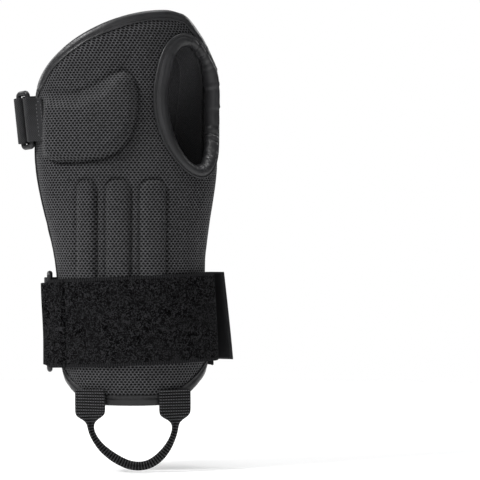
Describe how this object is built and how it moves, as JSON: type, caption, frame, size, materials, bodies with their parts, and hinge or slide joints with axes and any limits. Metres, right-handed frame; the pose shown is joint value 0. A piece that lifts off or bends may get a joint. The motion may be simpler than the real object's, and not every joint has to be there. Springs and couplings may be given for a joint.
{
  "type": "wrist guard",
  "caption": "Padded snow-sport wrist guard with a palm shell, back panel, thumb hole, hook-and-loop straps on rings and a pull loop.",
  "frame": {"origin": "middle of the cuff opening, at the height of the cuff's lowest edge", "axes": "+Z from the cuff towards the fingers, -Y out of the palm, +X towards the thumb of a right hand held palm forward; the pull loop hangs below the origin"},
  "size_m": [0.1241, 0.0634, 0.2598],
  "materials": {
    "air_mesh": "black spacer mesh with small open cells",
    "lining_mesh": "fine black mesh lining",
    "foam": "foam seen through the mesh",
    "leatherette": "semi-gloss black leatherette with stitching",
    "splint_plastic": "matte",
    "ring_plastic": "satin moulded",
    "webbing": "black twill webbing with stitched edges",
    "loop_pile": "fuzzy black loop pile",
    "hook_tape": "matte black hook tape",
    "ribbed_webbing": "ribbed black webbing",
    "white_print": "flat white print"
  },
  "bodies": {
    "guard": {"palm_cover": "air_mesh", "palm_foam": "foam", "palm_lining": "lining_mesh", "palm_splint": "splint_plastic", "palm_rib_pads": "foam", "palm_slider_pad": "splint_plastic", "finger_edge_binding": "leatherette", "cuff_edge_binding": "leatherette", "ulnar_edge_binding": "leatherette", "thumb_edge_facing": "leatherette", "thumb_hole_binding": "leatherette", "dorsal_cover": "air_mesh", "dorsal_foam": "foam", "dorsal_lining": "lining_mesh", "dorsal_stays": "splint_plastic", "dorsal_binding": "leatherette", "thumb_side_gusset": "lining_mesh", "hand_ring_keeper": "webbing", "hand_strap_pile_base": "loop_pile", "forearm_pile_band": "loop_pile", "forearm_band_loop": "loop_pile", "forearm_strap_base": "loop_pile", "pull_loop_anchor_ulnar": "ribbed_webbing", "pull_loop_anchor_thumb": "ribbed_webbing"},
    "hand_ring_body": {"hand_ring": "ring_plastic", "hand_strap_turn": "webbing"},
    "hand_strap_flap": {"hand_strap_free_end": "webbing", "hand_strap_hook_patch": "hook_tape"},
    "forearm_ring_body": {"forearm_ring": "ring_plastic", "forearm_strap_turn": "webbing"},
    "forearm_strap_flap": {"forearm_strap_free_end": "webbing", "forearm_strap_hook_patch": "hook_tape", "forearm_strap_print": "white_print"},
    "pull_loop_body": {"pull_loop": "ribbed_webbing"}
  },
  "joints": [
    {"name": "hand_ring_swivel", "type": "hinge", "parent": "guard", "child": "hand_ring_body", "pos_m": [-0.055, -0.0058, 0.1615], "axis": [-0.1045, 0, 0.9945], "range_deg": [0, 20]},
    {"name": "hand_strap_peel", "type": "hinge", "parent": "hand_ring_body", "child": "hand_strap_flap", "pos_m": [-0.06032, 0.00015, 0.16094], "axis": [-0.1045, 0, 0.9945], "range_deg": [0, 150]},
    {"name": "forearm_ring_swivel", "type": "hinge", "parent": "guard", "child": "forearm_ring_body", "pos_m": [-0.0436, -0.005, 0.047], "axis": [0, 0, 1], "range_deg": [0, 20]},
    {"name": "forearm_strap_peel", "type": "hinge", "parent": "forearm_ring_body", "child": "forearm_strap_flap", "pos_m": [-0.04444, 0.00296, 0.047], "axis": [0, 0, 1], "range_deg": [0, 150]},
    {"name": "pull_loop_swing", "type": "hinge", "parent": "guard", "child": "pull_loop_body", "pos_m": [0.0047, -0.02605, -0.0067], "axis": [1, 0, 0], "range_deg": [-45, 45]}
  ]
}
